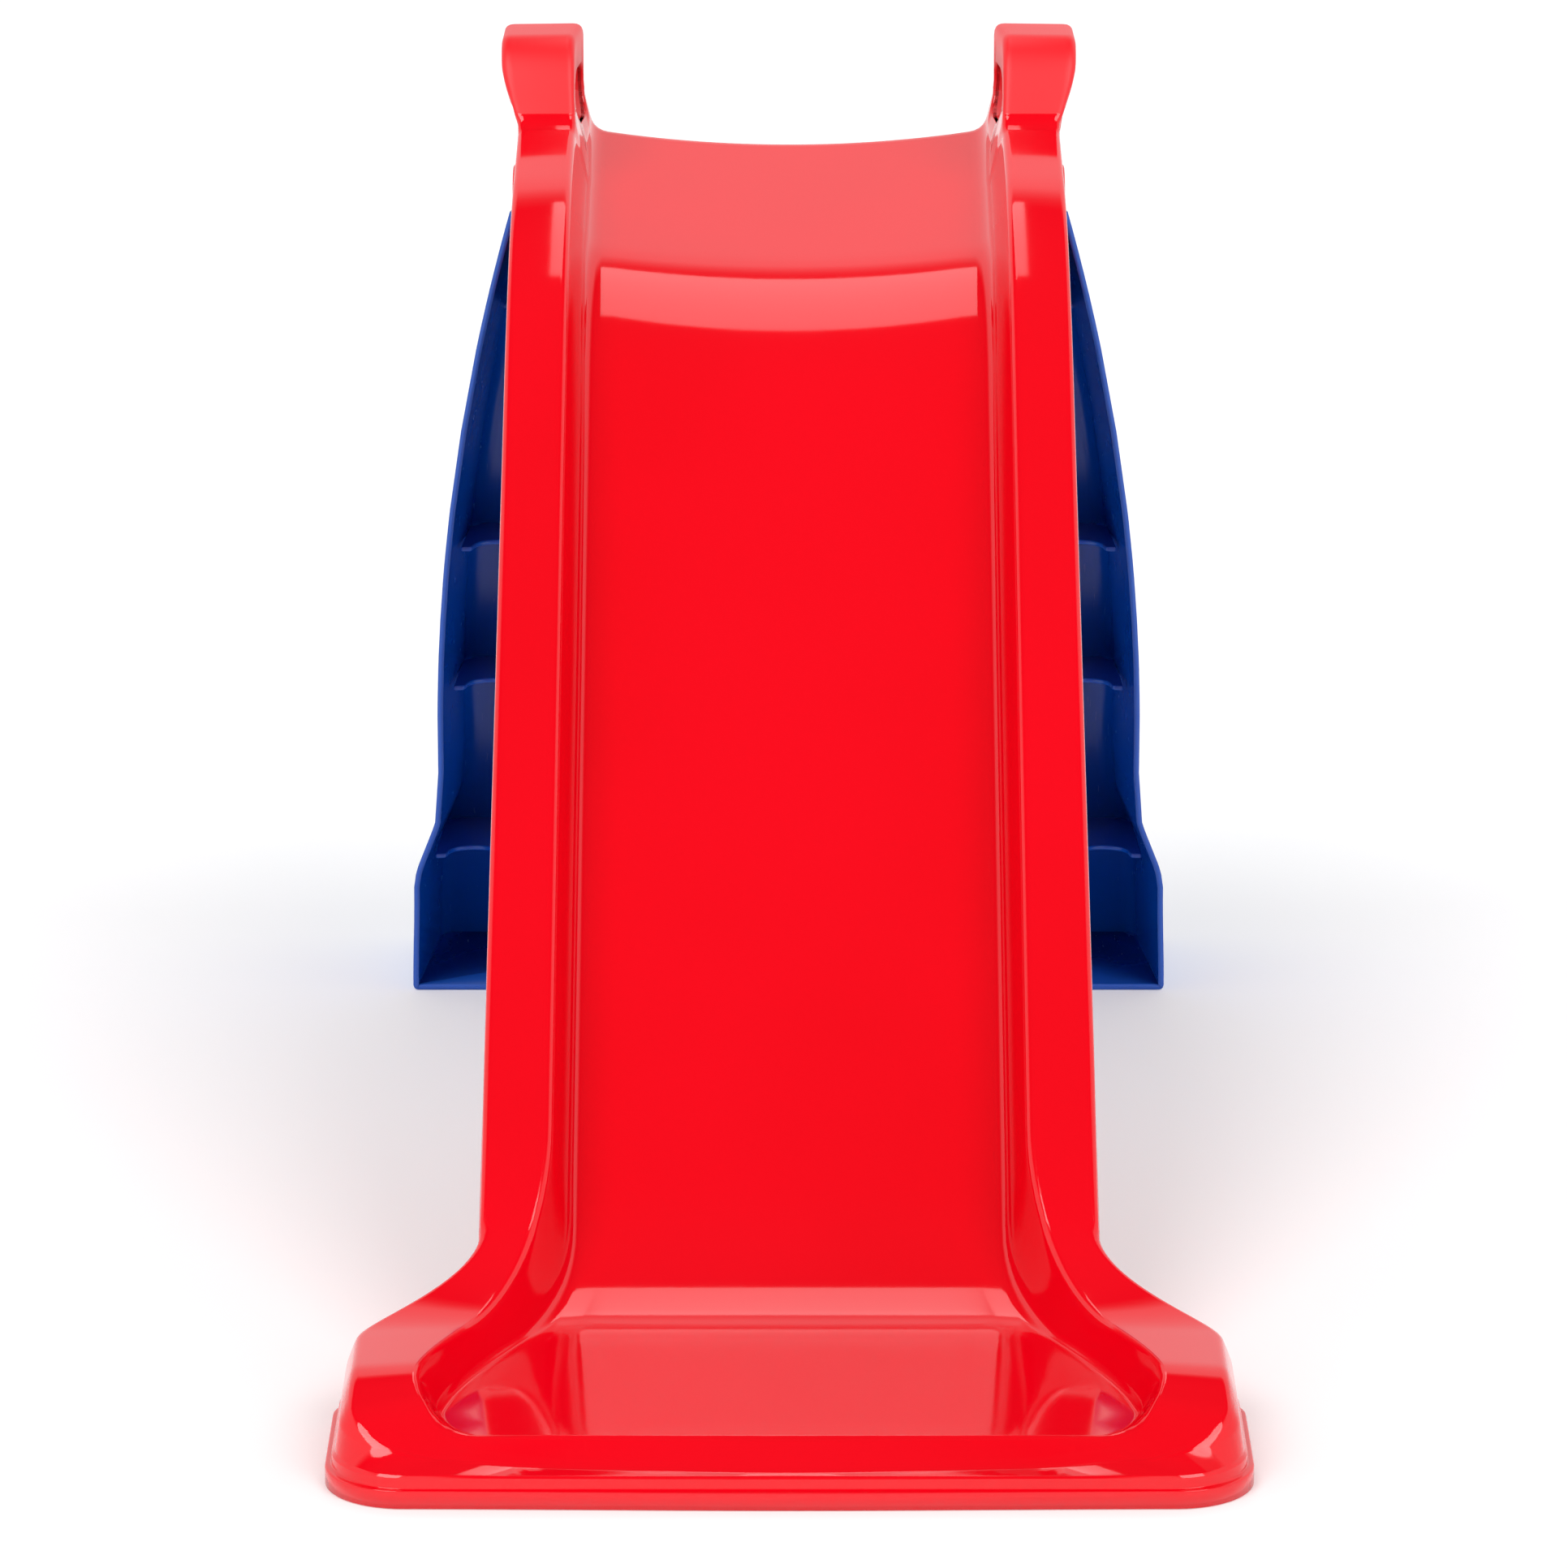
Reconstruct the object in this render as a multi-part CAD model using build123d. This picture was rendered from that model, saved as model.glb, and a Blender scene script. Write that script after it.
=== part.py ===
from build123d import *
import os

os.makedirs("parts", exist_ok=True)

# Toddler slide: one red chute moulding with a matt hand grip on each rail, one blue ladder
# moulding hinged to it under the grips, and a blue brace that swings out of the ladder and
# props the chute.
# Everything is drawn with y = 0 at the front edge of the foot and z = 0 on the floor, then
# moved back by half the length, so that the origin is the middle of the footprint.

# ---- overall size ----
LENGTH = 990.0
HEIGHT = 584.0
WALL = 3.5                 # moulded wall thickness

# ---- chute bed, seen from the side ----
LIP_Y = 27.0               # front edge of the run-out floor
LIP_Z = 29.0
RUN_Y = 205.0              # corner between run-out and chute
RUN_Z = 35.0
SEAT_Y = 660.0             # corner between chute and seat
SEAT_Z = 463.0
REAR_Y = 862.0             # rear edge of the seat
REAR_Z = 511.0
RUN_RADIUS = 150.0
SEAT_RADIUS = 190.0
BED_HALF = 112.0           # half width of the channel
PAN_HALF = 176.0           # half width of the run-out pan at its front

# ---- side rails ----
RAIL_TOP_HALF = 153.5      # outer half width at the seat
RAIL_LOW_HALF = 158.5      # outer half width above the foot
RAIL_RISE = 62.0           # crown above the chute, measured upright
SEAT_RISE = 47.0           # crown above the seat, measured upright
SKIRT_DROP = 75.0          # skirt edge below the bed, measured upright
SKIRT_BREAK_Z = 426.0      # skirt edge below the hinge
SKIRT_KNEE_Y = 846.0       # the skirt is cut back here, to clear the ladder when it folds
SKIRT_KNEE_Z = 464.0
SKIRT_REAR_Z = 488.0
BOLSTER_Z = 52.0           # top of the foot bolsters
BOLSTER_HALF = 223.0
FLARE_START = 192.0        # where the rails begin to flare into the bolsters
FLARE_END = 114.0
CORNER_RADIUS = 38.0
FLANGE_REACH = 152.0
FLANGE_Z = 9.0
BEAD_Z = 14.0
BEAD_INSET = 5.0

# ---- hand grips ----
GRIP_IN_HALF = 113.0
GRIP_OUT_HALF = 164.5
GRIP_FRONT_Y = 772.0
GRIP_REAR_Y = 868.0
GRIP_FOOT_Z = 524.0
SLOT_Y = 829.0
SLOT_Z = 547.0
SLOT_LENGTH = 52.0
SLOT_WIDTH = 32.0
SLOT_START_X = 104.0
SLOT_DEPTH = 80.0
GRIP_LEAN = 32.0           # the front of the grip leans back by this much
GRIP_TAIL = 40.0           # tail behind the rail, below the front of the grip
SADDLE_Y = 790.0           # the grip takes the place of the rail's top behind here
SADDLE_Z = 528.0

# ---- ladder hinge ----
HINGE_Y = 800.0
HINGE_Z = 492.0
PIN_R = 6.0
RUNNING_FIT = 0.08         # radial clearance of every turning pin
PIN_HEAD_R = 19.0
PIN_HEAD_X = 154.15        # inner face of the head, against the rail
PIN_HEAD_THICK = 2.1
PIN_END_X = 134.0
EAR_X = 141.0              # inner face of the ladder ear
EAR_THICK = 6.0
EAR_R = 17.0
WASHER_R = 12.0
WASHER_THICK = 2.4
CLIP_R = 11.0
CLIP_THICK = 1.6

# ---- ladder moulding ----
LADDER_FOOT_Y = 875.0      # front rim at the floor
LADDER_TOP_Z = 484.0
LADDER_TOP_BACK = 866.0    # back face at the top
LADDER_TOP_HALF = 158.4
LADDER_WAIST_HALF = 205.4
LADDER_WAIST_Z = 152.0
LADDER_FOOT_HALF = 222.6
FLARE_TOP_Z = 118.0
FLARE_LOW_Z = 64.0
STEP_LEVELS = (81.0, 188.0, 275.0, 417.0)
STEP_DEPTH = 34.0
STEP_NOSE = 8.0
STILE = 36.0               # width left beside the steps
RIB_RECESS = 24.0          # rib edge behind the front rim
RIB_THICK = 3.0
SCALLOP_X = 173.0
SCALLOP_R = 12.0
DECK_HALF = 147.0          # top deck passes between the rails

# ---- brace and its latch ----
BRACE_Y = 838.0            # rod centre, in the ladder
BRACE_Z = 320.0
TIP_Y = 555.0              # cross bar that latches under the chute
TIP_Z = 300.0
TIP_R = 7.0
BRACE_HALF = 96.0
BRACE_BAR = 24.0
BRACE_THICK = 12.0
ROD_R = 4.0
BARREL_R = 8.0
LUG_X = 98.0               # inner face of the lugs that carry the rod
LUG_THICK = 5.0
CAP_R = 7.5
CAP_LENGTH = 7.0
LATCH_X = 58.0
LATCH_THICK = 5.0
LATCH_FRONT = 14.0         # lug before and behind the cross bar
LATCH_REAR = 44.0
LATCH_FIT = 0.6
LUG_DEPTH = 26.0           # foot of the rod lug on the rib

# ---- derived slopes ----
CHUTE_SLOPE = (SEAT_Z - RUN_Z) / (SEAT_Y - RUN_Y)
SEAT_SLOPE = (REAR_Z - SEAT_Z) / (REAR_Y - SEAT_Y)
RIM_SLOPE = (LADDER_FOOT_Y - HINGE_Y) / LADDER_TOP_Z
BACK_SLOPE = (LENGTH - LADDER_TOP_BACK) / LADDER_TOP_Z


def side_prism(outline, half):
    """Extrude a closed side view, given in (y, z), to both sides of the middle plane."""
    return extrude(Plane.YZ * make_face(outline), amount=half, both=True)


def closed(path, corners):
    """Close a side-view path through further corner points."""
    return path + Polyline(path @ 1, *corners, path @ 0)


def bed_path(drop, past):
    """Bed line from front to rear, lowered by drop and run on past both ends."""
    return FilletPolyline(
        (LIP_Y - past, LIP_Z - drop),
        (RUN_Y, RUN_Z - drop),
        (SEAT_Y, SEAT_Z - drop),
        (REAR_Y + past, REAR_Z + past * SEAT_SLOPE - drop),
        radius=[RUN_RADIUS, SEAT_RADIUS],
    )


def crown_path(drop):
    """Top line of the rails: front lip, bolster, chute rail and seat rail."""
    bend_y = RUN_Y + (BOLSTER_Z - RUN_Z - RAIL_RISE) / CHUTE_SLOPE
    chute_zero = RUN_Z + RAIL_RISE - RUN_Y * CHUTE_SLOPE
    seat_zero = REAR_Z + SEAT_RISE - REAR_Y * SEAT_SLOPE
    top_y = (seat_zero - chute_zero) / (CHUTE_SLOPE - SEAT_SLOPE)
    return FilletPolyline(
        (BEAD_INSET + drop, BEAD_Z),
        (LIP_Y - 4.0 + drop, LIP_Z + 3.0 - drop),
        (LIP_Y + 40.0, BOLSTER_Z - drop),
        (bend_y, BOLSTER_Z - drop),
        (top_y, top_y * CHUTE_SLOPE + chute_zero - drop),
        (REAR_Y - drop, (REAR_Y - drop) * SEAT_SLOPE + seat_zero - drop),
        radius=[5.0, 30.0, 90.0, 110.0],
    )


def plan_face(inset):
    """Plan outline of the moulding: straight rails that flare into the foot."""
    front = BEAD_INSET + inset
    foot = BOLSTER_HALF - inset
    low = RAIL_LOW_HALF - inset
    top = RAIL_TOP_HALF - inset
    radius = CORNER_RADIUS - inset
    right = Line((0, front), (foot - radius, front))
    right += RadiusArc((foot - radius, front), (foot, front + radius), -radius)
    right += Line((foot, front + radius), (foot, FLARE_END))
    right += Spline((foot, FLARE_END), (low, FLARE_START), tangents=[(0, 1), (0, 1)])
    right += Line((low, FLARE_START), (top, REAR_Y - inset))
    right += Line((top, REAR_Y - inset), (0, REAR_Y - inset))
    return make_face(right + mirror(right, about=Plane.YZ))


def channel_face(grow):
    """Plan outline of the open channel, widening into the run-out pan."""
    bed = BED_HALF + grow
    pan = PAN_HALF + grow
    right = Line((0, -20.0), (pan, -20.0))
    right += Line((pan, -20.0), (pan, 78.0))
    right += Spline((pan, 78.0), (bed, 235.0), tangents=[(0, 1), (0, 1)])
    right += Line((bed, 235.0), (bed, REAR_Y + 30.0))
    right += Line((bed, REAR_Y + 30.0), (0, REAR_Y + 30.0))
    return make_face(right + mirror(right, about=Plane.YZ))


def chute_block(inset):
    """Rails and bed as one block whose skin lies inset inside the outer surface."""
    floor_y = RUN_Y + (SKIRT_DROP - RUN_Z) / CHUTE_SLOPE
    below = 60.0 if inset else 0.0     # the inner block runs out through the open underside
    block = side_prism(
        closed(
            crown_path(inset),
            [
                (REAR_Y - inset, SKIRT_REAR_Z - below),
                (SKIRT_KNEE_Y, SKIRT_KNEE_Z - below),
                (HINGE_Y, SKIRT_BREAK_Z - below),
                (SEAT_Y, SEAT_Z - SKIRT_DROP - below),
                (floor_y, -below),
                (BEAD_INSET + inset, -below),
            ],
        ),
        300.0,
    )
    block &= extrude(plan_face(inset), amount=700.0, both=True)
    channel = side_prism(
        closed(bed_path(inset * 1.25, 40.0), [(REAR_Y + 40.0, 700.0), (-13.0, 700.0)]),
        300.0,
    )
    channel &= extrude(channel_face(inset), amount=800.0)
    return block - channel


def foot_flange():
    """Flat flange round the foot with a bead on top of it."""
    solids = []
    for grow, top in ((BEAD_INSET, FLANGE_Z), (0.5, BEAD_Z)):
        outer = BOLSTER_HALF + grow
        front = BEAD_INSET - grow
        depth = FLANGE_REACH - front
        ring = RectangleRounded(2 * outer, depth, CORNER_RADIUS)
        inner = RectangleRounded(2 * (BOLSTER_HALF - WALL), depth - 12.0, 30.0)
        solids.append(extrude(Pos(0, front + depth / 2) * (ring - inner), amount=top))
    return solids[0] + solids[1]


def hand_slot():
    """Slot for the hand, through grip and rail."""
    slot = Plane.YZ * Pos(SLOT_Y, SLOT_Z) * SlotOverall(SLOT_LENGTH, SLOT_WIDTH)
    return Pos(SLOT_START_X, 0, 0) * extrude(slot, amount=SLOT_DEPTH)


def saddle():
    """The part of the right rail that belongs to the grip."""
    depth = GRIP_REAR_Y + 10.0 - SADDLE_Y
    width = GRIP_OUT_HALF + 10.0 - SLOT_START_X
    corner = Pos(SLOT_START_X, SADDLE_Y, SADDLE_Z)
    return corner * extrude(Plane.XY * Pos(width / 2, depth / 2) * Rectangle(width, depth), amount=80.0)


def hand_grip():
    """Strap grip seated on a rail, with a slot for the hand."""
    low = GRIP_FOOT_Z - GRIP_TAIL
    outline = FilletPolyline(
        (GRIP_FRONT_Y, GRIP_FOOT_Z),
        (GRIP_FRONT_Y + GRIP_LEAN, HEIGHT),
        (GRIP_REAR_Y, HEIGHT),
        (GRIP_REAR_Y, low),
        radius=[26.0, 30.0],
    )
    strap = make_face(closed(outline, [(REAR_Y - WALL, low), (REAR_Y - WALL, GRIP_FOOT_Z)]))
    grip = extrude(Plane.YZ * strap, amount=GRIP_OUT_HALF - GRIP_IN_HALF)
    rail = chute_block(0)
    return (Pos(GRIP_IN_HALF, 0, 0) * grip - rail) + (rail & saddle()) - hand_slot()


def rod_along_x(radius, start, stop, y, z):
    """Round bar across the slide from x = start to x = stop."""
    return Pos(start, y, z) * extrude(Plane.YZ * Circle(radius), amount=stop - start)


def both_sides(solid):
    """A piece and its mirror image."""
    return [solid, mirror(solid, about=Plane.YZ)]


def latch_lug():
    """Gusset under the chute with a hollow that the brace's cross bar rests in."""
    under = RUN_Z - WALL + 0.5 - RUN_Y * CHUTE_SLOPE     # meets the bed inside its wall
    front = TIP_Y - LATCH_FRONT
    rear = TIP_Y + LATCH_REAR
    plate = Polyline(
        (front, under + front * CHUTE_SLOPE),
        (rear, under + rear * CHUTE_SLOPE),
        (TIP_Y + 16.0, TIP_Z - 3.0),
        (TIP_Y + 7.0, TIP_Z - 5.0),
        (TIP_Y - 10.0, TIP_Z + 12.0),
        (front, under + front * CHUTE_SLOPE),
    )
    face = make_face(plate) - Pos(TIP_Y, TIP_Z) * Circle(TIP_R + LATCH_FIT)
    return Pos(LATCH_X, 0, 0) * extrude(Plane.YZ * face, amount=LATCH_THICK)


def slide_chute():
    """The red moulding: bed, rails, foot, pin holes and latch lugs."""
    chute = chute_block(0) - chute_block(WALL)
    gap_height = 100.0
    rear_gap = Box(2 * (RAIL_TOP_HALF - WALL), 30.0, gap_height)
    chute -= Pos(0, REAR_Y, SKIRT_REAR_Z - gap_height / 2) * rear_gap
    chute += foot_flange()
    for gap in both_sides(saddle()):
        chute -= gap
    for lug in both_sides(latch_lug()):
        chute += lug
    hole = rod_along_x(PIN_R + 0.03, -200.0, -140.0, HINGE_Y, HINGE_Z)
    for drill in both_sides(hole):
        chute -= drill
    return chute


def ladder_front_face(inset):
    """Front outline of the ladder: curved sides and flared feet."""
    top_slope = 2.0 * (LADDER_WAIST_HALF - LADDER_TOP_HALF) / (LADDER_TOP_Z - LADDER_WAIST_Z)
    foot = LADDER_FOOT_HALF - inset
    waist = LADDER_WAIST_HALF - inset
    top = LADDER_TOP_HALF - inset
    right = Line((0, inset), (foot, inset))
    right += Line((foot, inset), (foot - 1.5, FLARE_LOW_Z))
    right += Spline((foot - 1.5, FLARE_LOW_Z), (waist, FLARE_TOP_Z), tangents=[(0, 1), (0, 1)])
    right += Line((waist, FLARE_TOP_Z), (waist, LADDER_WAIST_Z))
    right += Spline((waist, LADDER_WAIST_Z), (top, LADDER_TOP_Z), tangents=[(0, 1), (-top_slope, 1)])
    right += Line((top, LADDER_TOP_Z), (0, LADDER_TOP_Z))
    return make_face(right + mirror(right, about=Plane.YZ))


def rim_y(z):
    """Front rim of the ladder at height z."""
    return LADDER_FOOT_Y - RIM_SLOPE * z


def back_y(z):
    """Back face of the ladder at height z."""
    return LENGTH - BACK_SLOPE * z


def ladder_block(front_shift, back_shift, inset):
    """Ladder as a block between a front and a back plane."""
    outline = Polyline(
        (rim_y(-5.0) + front_shift, -5.0),
        (back_y(-5.0) - back_shift, -5.0),
        (back_y(LADDER_TOP_Z + 5.0) - back_shift, LADDER_TOP_Z + 5.0),
        (rim_y(LADDER_TOP_Z + 5.0) + front_shift, LADDER_TOP_Z + 5.0),
        (rim_y(-5.0) + front_shift, -5.0),
    )
    block = side_prism(outline, 300.0)
    return block & extrude(Plane.XZ * ladder_front_face(inset), amount=-1200.0)


def ladder_half(z):
    """Outer half width of the ladder above its feet."""
    fall = (z - LADDER_WAIST_Z) / (LADDER_TOP_Z - LADDER_WAIST_Z)
    return LADDER_WAIST_HALF - (LADDER_WAIST_HALF - LADDER_TOP_HALF) * max(fall, 0.0) ** 2


def step_pocket(low, high, grow):
    """Toe space above one tread; grow makes the solid that backs it inside the shell."""
    pocket = Polyline(
        (back_y(low) + 9.0, low - grow),
        (back_y(low) - STEP_DEPTH - grow, low - grow),
        (back_y(high) - STEP_NOSE - grow, high - STEP_NOSE + grow),
        (back_y(high) + 9.0, high - STEP_NOSE + grow),
        (back_y(low) + 9.0, low - grow),
    )
    return side_prism(pocket, ladder_half(high) - STILE + grow)


def rib_shelf(level):
    """Shelf inside the shell behind each tread, with scalloped front corners."""
    front = rim_y(level) + RIB_RECESS
    half = ladder_half(level) + 20.0
    shelf = Pos(0, (front + LENGTH) / 2, level - RIB_THICK / 2) * Box(2 * half, LENGTH - front, RIB_THICK)
    if level < STEP_LEVELS[-1]:
        cut = Pos(SCALLOP_X, front, level) * Cylinder(SCALLOP_R, 20.0)
    else:
        cut = Pos(RAIL_TOP_HALF, front, level) * Box(18.0, 70.0, 20.0)
    for side in both_sides(cut):
        shelf -= side
    return shelf & ladder_block(0.0, 1.0, 1.0)


def hinge_ear():
    """Gusset that carries the hinge, from the top deck up round the pin."""
    plate = Polyline(
        (HINGE_Y + 8.0, STEP_LEVELS[-1] - 1.0),
        (LADDER_TOP_BACK - 2.0, STEP_LEVELS[-1] - 1.0),
        (LADDER_TOP_BACK - 2.0, LADDER_TOP_Z),
        (HINGE_Y + 30.0, LADDER_TOP_Z),
        (HINGE_Y + 12.0, HINGE_Z + 12.0),
        (HINGE_Y - 14.0, HINGE_Z - 8.0),
        (HINGE_Y + 8.0, STEP_LEVELS[-1] - 1.0),
    )
    face = make_face(plate) + Pos(HINGE_Y, HINGE_Z) * Circle(EAR_R)
    ear = Pos(EAR_X, 0, 0) * extrude(Plane.YZ * face, amount=EAR_THICK)
    return ear - rod_along_x(PIN_R + RUNNING_FIT, EAR_X - 5.0, EAR_X + 20.0, HINGE_Y, HINGE_Z)


def brace_lug():
    """Lug on the third rib that carries one end of the brace rod."""
    shelf = STEP_LEVELS[2] - 1.0
    front = rim_y(shelf) + RIB_RECESS
    plate = Polyline(
        (front, shelf),
        (front + LUG_DEPTH, shelf),
        (front + LUG_DEPTH, shelf + 14.0),
        (BRACE_Y + 6.0, BRACE_Z + 9.0),
        (BRACE_Y - 10.0, BRACE_Z),
        (front, shelf),
    )
    face = make_face(plate) + Pos(BRACE_Y, BRACE_Z) * Circle(ROD_R + 6.0)
    lug = Pos(LUG_X, 0, 0) * extrude(Plane.YZ * face, amount=LUG_THICK)
    return lug - rod_along_x(ROD_R + 0.03, LUG_X - 5.0, LUG_X + 20.0, BRACE_Y, BRACE_Z)


def ladder():
    """The blue moulding: open shell, treads, ribs, hinge ears and brace lugs."""
    shell = ladder_block(0.0, 0.0, 0.0)
    hollow = ladder_block(-60.0, WALL, WALL)
    tops = STEP_LEVELS[1:] + (LADDER_TOP_Z - 10.0,)
    for low, high in zip(STEP_LEVELS, tops):
        hollow -= step_pocket(low, high, WALL)
    shell -= hollow
    shell += Pos(0, (HINGE_Y + 34.0 + LADDER_TOP_BACK) / 2, LADDER_TOP_Z - WALL / 2) * Box(
        2 * DECK_HALF, LADDER_TOP_BACK - HINGE_Y - 38.0, WALL
    )
    for level in STEP_LEVELS:
        shell += rib_shelf(level)
    for low, high in zip(STEP_LEVELS, tops):
        shell -= step_pocket(low, high, 0.0)
    for piece in both_sides(hinge_ear()) + both_sides(brace_lug()):
        shell += piece
    rail_room = Pos(RAIL_TOP_HALF - 1.0, HINGE_Y + 20.0, LADDER_TOP_Z) * Box(7.0, 70.0, 60.0)
    head_room = rod_along_x(PIN_HEAD_R + 1.5, 150.0, 156.9, HINGE_Y, HINGE_Z)
    for cut in both_sides(rail_room) + both_sides(head_room):
        shell -= cut
    return shell


def hinge_pin():
    """Snap pin with a broad domed head on the outside of the rail."""
    shaft = rod_along_x(PIN_R, PIN_END_X, PIN_HEAD_X + 0.5, HINGE_Y, HINGE_Z)
    head = rod_along_x(PIN_HEAD_R, PIN_HEAD_X, PIN_HEAD_X + PIN_HEAD_THICK, HINGE_Y, HINGE_Z)
    rim = head.edges().group_by(Axis.X)[-1]
    return shaft + fillet(rim, PIN_HEAD_THICK * 0.8)


def ring(outer, inner, start, thick, y, z):
    """Flat ring across x, used for washers and push-on clips."""
    disc = rod_along_x(outer, start, start + thick, y, z)
    return disc - rod_along_x(inner, start - 1.0, start + thick + 1.0, y, z)


def fold_brace():
    """Frame of two arms, a barrel on the rod and a cross bar at the latch."""
    length = ((BRACE_Y - TIP_Y) ** 2 + (BRACE_Z - TIP_Z) ** 2) ** 0.5
    along = Vector(0, TIP_Y - BRACE_Y, TIP_Z - BRACE_Z)
    plane = Plane(origin=(0, BRACE_Y, BRACE_Z), x_dir=along, z_dir=along.cross(Vector(1, 0, 0)))
    frame = Pos(length / 2, 0) * Rectangle(length, 2 * BRACE_HALF)
    middle = length / 2
    spans = ((BRACE_BAR, middle - BRACE_BAR / 2), (middle + BRACE_BAR / 2, length - TIP_R / 2))
    for start, stop in spans:
        window = RectangleRounded(stop - start, 2 * (BRACE_HALF - BRACE_BAR), 8.0)
        frame -= Pos((start + stop) / 2, 0) * window
    body = extrude(plane * frame, amount=BRACE_THICK / 2, both=True)
    body += rod_along_x(BARREL_R, -BRACE_HALF, BRACE_HALF, BRACE_Y, BRACE_Z)
    body += rod_along_x(TIP_R, -BRACE_HALF, BRACE_HALF, TIP_Y, TIP_Z)
    return body - rod_along_x(ROD_R + RUNNING_FIT, -150.0, 150.0, BRACE_Y, BRACE_Z)


def rod_cap():
    """Push-on cap over one end of the brace rod."""
    start = LUG_X + LUG_THICK + 0.2
    cap = rod_along_x(CAP_R, start, start + CAP_LENGTH, BRACE_Y, BRACE_Z)
    rim = cap.edges().group_by(Axis.X)[-1]
    bore = rod_along_x(ROD_R, start - 1.0, start + CAP_LENGTH - 2.0, BRACE_Y, BRACE_Z)
    return fillet(rim, 2.0) - bore


rod_end = LUG_X + LUG_THICK + CAP_LENGTH - 2.0
clip_x = EAR_X - 0.4 - CLIP_THICK
washer_x = EAR_X + EAR_THICK + 0.3
pins = both_sides(hinge_pin())
grips = both_sides(hand_grip())

nodes = {
    "slide_chute": slide_chute(),
    "hand_grip_right": grips[0],
    "hand_grip_left": grips[1],
    "ladder": ladder(),
    "fold_brace": fold_brace(),
    "hinge_pin_right": pins[0],
    "hinge_pin_left": pins[1],
    "hinge_washers": Compound(
        both_sides(ring(WASHER_R, PIN_R + 0.1, washer_x, WASHER_THICK, HINGE_Y, HINGE_Z))
    ),
    "hinge_clips": Compound(both_sides(ring(CLIP_R, PIN_R, clip_x, CLIP_THICK, HINGE_Y, HINGE_Z))),
    "brace_rod": rod_along_x(ROD_R, -rod_end, rod_end, BRACE_Y, BRACE_Z),
    "brace_rod_caps": Compound(both_sides(rod_cap())),
}

for name, shape in nodes.items():
    export_step(Pos(0, -LENGTH / 2, 0) * shape, f"parts/{name}.step")
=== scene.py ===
from math import cos, pi, radians, sin

import bmesh
import bpy
import numpy as np
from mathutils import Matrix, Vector


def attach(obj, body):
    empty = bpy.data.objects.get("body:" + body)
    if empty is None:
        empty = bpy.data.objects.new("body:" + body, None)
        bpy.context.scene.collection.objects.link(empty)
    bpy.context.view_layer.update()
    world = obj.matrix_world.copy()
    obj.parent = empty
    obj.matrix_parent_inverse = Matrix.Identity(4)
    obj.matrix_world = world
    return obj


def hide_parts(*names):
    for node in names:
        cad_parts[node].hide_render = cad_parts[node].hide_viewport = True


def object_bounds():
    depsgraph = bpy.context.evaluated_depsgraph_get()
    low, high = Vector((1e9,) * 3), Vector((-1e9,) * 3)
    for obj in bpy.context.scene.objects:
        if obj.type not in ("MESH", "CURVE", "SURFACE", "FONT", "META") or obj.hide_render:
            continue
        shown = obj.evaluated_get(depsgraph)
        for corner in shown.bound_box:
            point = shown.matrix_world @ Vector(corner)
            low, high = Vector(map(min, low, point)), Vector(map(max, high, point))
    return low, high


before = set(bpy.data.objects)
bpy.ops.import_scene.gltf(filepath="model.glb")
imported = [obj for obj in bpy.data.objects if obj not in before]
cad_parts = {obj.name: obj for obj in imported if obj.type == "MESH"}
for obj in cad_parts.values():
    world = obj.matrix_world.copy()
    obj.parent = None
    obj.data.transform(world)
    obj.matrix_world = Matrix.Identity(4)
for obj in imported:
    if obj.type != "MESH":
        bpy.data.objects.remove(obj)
CAD_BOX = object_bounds()

# Shapes are drawn in millimetres, with y = 0 at the front edge of the foot, x = 0 in the
# middle plane and z = 0 on the floor. place() turns them into metres in the CAD frame.
MM = 0.001
FRONT_EDGE = CAD_BOX[0].y
LENGTH = (CAD_BOX[1].y - CAD_BOX[0].y) / MM
HEIGHT = CAD_BOX[1].z / MM

# ---- chute bed, side view ----
LIP_Y, LIP_Z = 27.0, 29.0
RUN_Y, RUN_Z = 205.0, 35.0
SEAT_Y, SEAT_Z = 660.0, 463.0
REAR_Y, REAR_Z = 862.0, 511.0
RUN_SLOPE = (RUN_Z - LIP_Z) / (RUN_Y - LIP_Y)
CHUTE_SLOPE = (SEAT_Z - RUN_Z) / (SEAT_Y - RUN_Y)
SEAT_SLOPE = (REAR_Z - SEAT_Z) / (REAR_Y - SEAT_Y)
DISH = 7.0                 # the seat's sides stand this much above its middle
CHUTE_RISE = 62.0          # rail crown above the chute
SEAT_RISE = 47.0           # rail crown above the seat
SKIRT_DROP = 75.0
BOLSTER_Z = 52.0
GRIP_Y = 776.0             # foot of the grip's front face
GRIP_SLOPE = 1.75
NOTCH_Z = 544.0            # the grip is wider than the rail above this
SKIN = 3.2                 # moulded wall

# ---- chute, plan view: half widths and where they change ----
RAIL_IN_HALF = 112.0
RAIL_OUT_REAR, RAIL_OUT_HALF = 153.5, 158.5
RAIL_TAPER = 600.0         # length over which the rail widens from the rear
FOOT_HALF = 223.0
PAN_HALF = 174.0           # run-out floor
FLARE_START, FLARE_END = 192.0, 114.0
PAN_START, PAN_END = 232.0, 44.0
CORNER_Y = 58.0            # the front corners start here
CORNER_IN_HALF, CORNER_OUT_HALF = 148.0, 185.0
FRONT_Y = 5.0              # outer edge of the front lip, before its own flange
CORNER_TURN = 0.22         # share of the corner's stations before its outer arc
OUTER_ARC_Y = CORNER_Y - 68.0 * CORNER_TURN


def place(points):
    """Millimetres in the drawing to metres in the CAD frame."""
    out = np.array(points, float) * MM
    out[..., 1] += FRONT_EDGE
    return out


def ease(t):
    t = np.clip(t, 0.0, 1.0)
    return t * t * (3.0 - 2.0 * t)


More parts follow.
